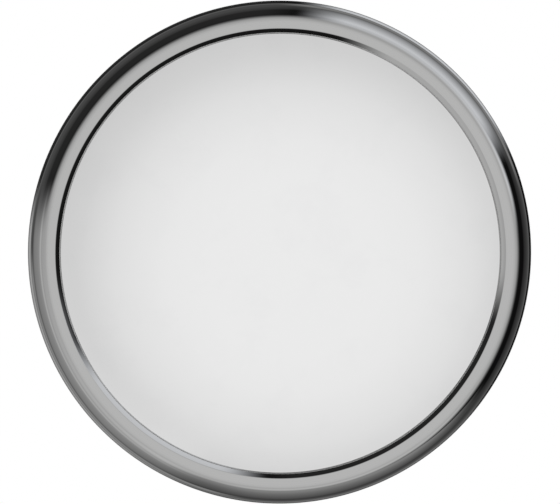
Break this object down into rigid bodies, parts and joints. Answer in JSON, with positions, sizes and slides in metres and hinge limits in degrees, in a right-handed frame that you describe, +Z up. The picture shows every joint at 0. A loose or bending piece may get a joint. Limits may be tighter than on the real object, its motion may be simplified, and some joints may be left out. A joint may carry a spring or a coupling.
{
  "type": "convex security mirror",
  "caption": "Round convex mirror in a crowned polished rim with a rolled edge, on a wall bracket that swings and tilts and is clamped by wing nuts.",
  "frame": {"origin": "centre of the wall plate's rear face, on the wall", "axes": "+Y into the wall, so the mirror faces -Y; +X to the right seen from the front; +Z up"},
  "size_m": [0.45, 0.2343, 0.45],
  "materials": {
    "mirror": "silvered acrylic, gloss",
    "stainless": "polished stainless steel",
    "rubber": "matt black rubber",
    "foam": "closed cell foam",
    "pan_paint": "charcoal powder coat",
    "bracket_paint": "satin black powder coat",
    "zinc": "bright zinc plate",
    "cast_zinc": "zinc plated casting",
    "nylon": "natural nylon"
  },
  "bodies": {
    "wall_mount": {"wall_plate": "bracket_paint", "wall_yoke": "bracket_paint", "plate_screws": "zinc", "plate_nuts": "zinc", "pan_bolt": "zinc", "pan_washer": "zinc"},
    "arm": {"swing_arm": "bracket_paint", "tilt_bushes": "nylon", "pan_bushes": "nylon"},
    "head": {"mirror_dome": "mirror", "rim_ring": "stainless", "sight_edge_gasket": "rubber", "foam_seat": "foam", "back_pan": "pan_paint", "rim_clips": "zinc", "rim_screws": "zinc", "spreader_plate": "zinc", "head_yoke": "bracket_paint", "yoke_bolts": "zinc", "yoke_washers": "zinc", "yoke_nuts": "zinc", "tilt_bolt": "zinc", "tilt_washer": "zinc"},
    "pan_nut": {"pan_wing_nut": "cast_zinc"},
    "tilt_nut": {"tilt_wing_nut": "cast_zinc"}
  },
  "joints": [
    {"name": "arm_swing", "type": "hinge", "parent": "wall_mount", "child": "arm", "pos_m": [0, -0.035, 0], "axis": [0, 0, 1], "range_deg": [-40, 40]},
    {"name": "head_tilt", "type": "hinge", "parent": "arm", "child": "head", "pos_m": [0, -0.135, 0], "axis": [1, 0, 0], "range_deg": [-40, 40]},
    {"name": "pan_nut_turn", "type": "hinge", "parent": "wall_mount", "child": "pan_nut", "pos_m": [0, -0.035, 0], "axis": [0, 0, 1], "continuous": true},
    {"name": "tilt_nut_turn", "type": "hinge", "parent": "head", "child": "tilt_nut", "pos_m": [0, -0.135, 0], "axis": [1, 0, 0], "continuous": true}
  ]
}
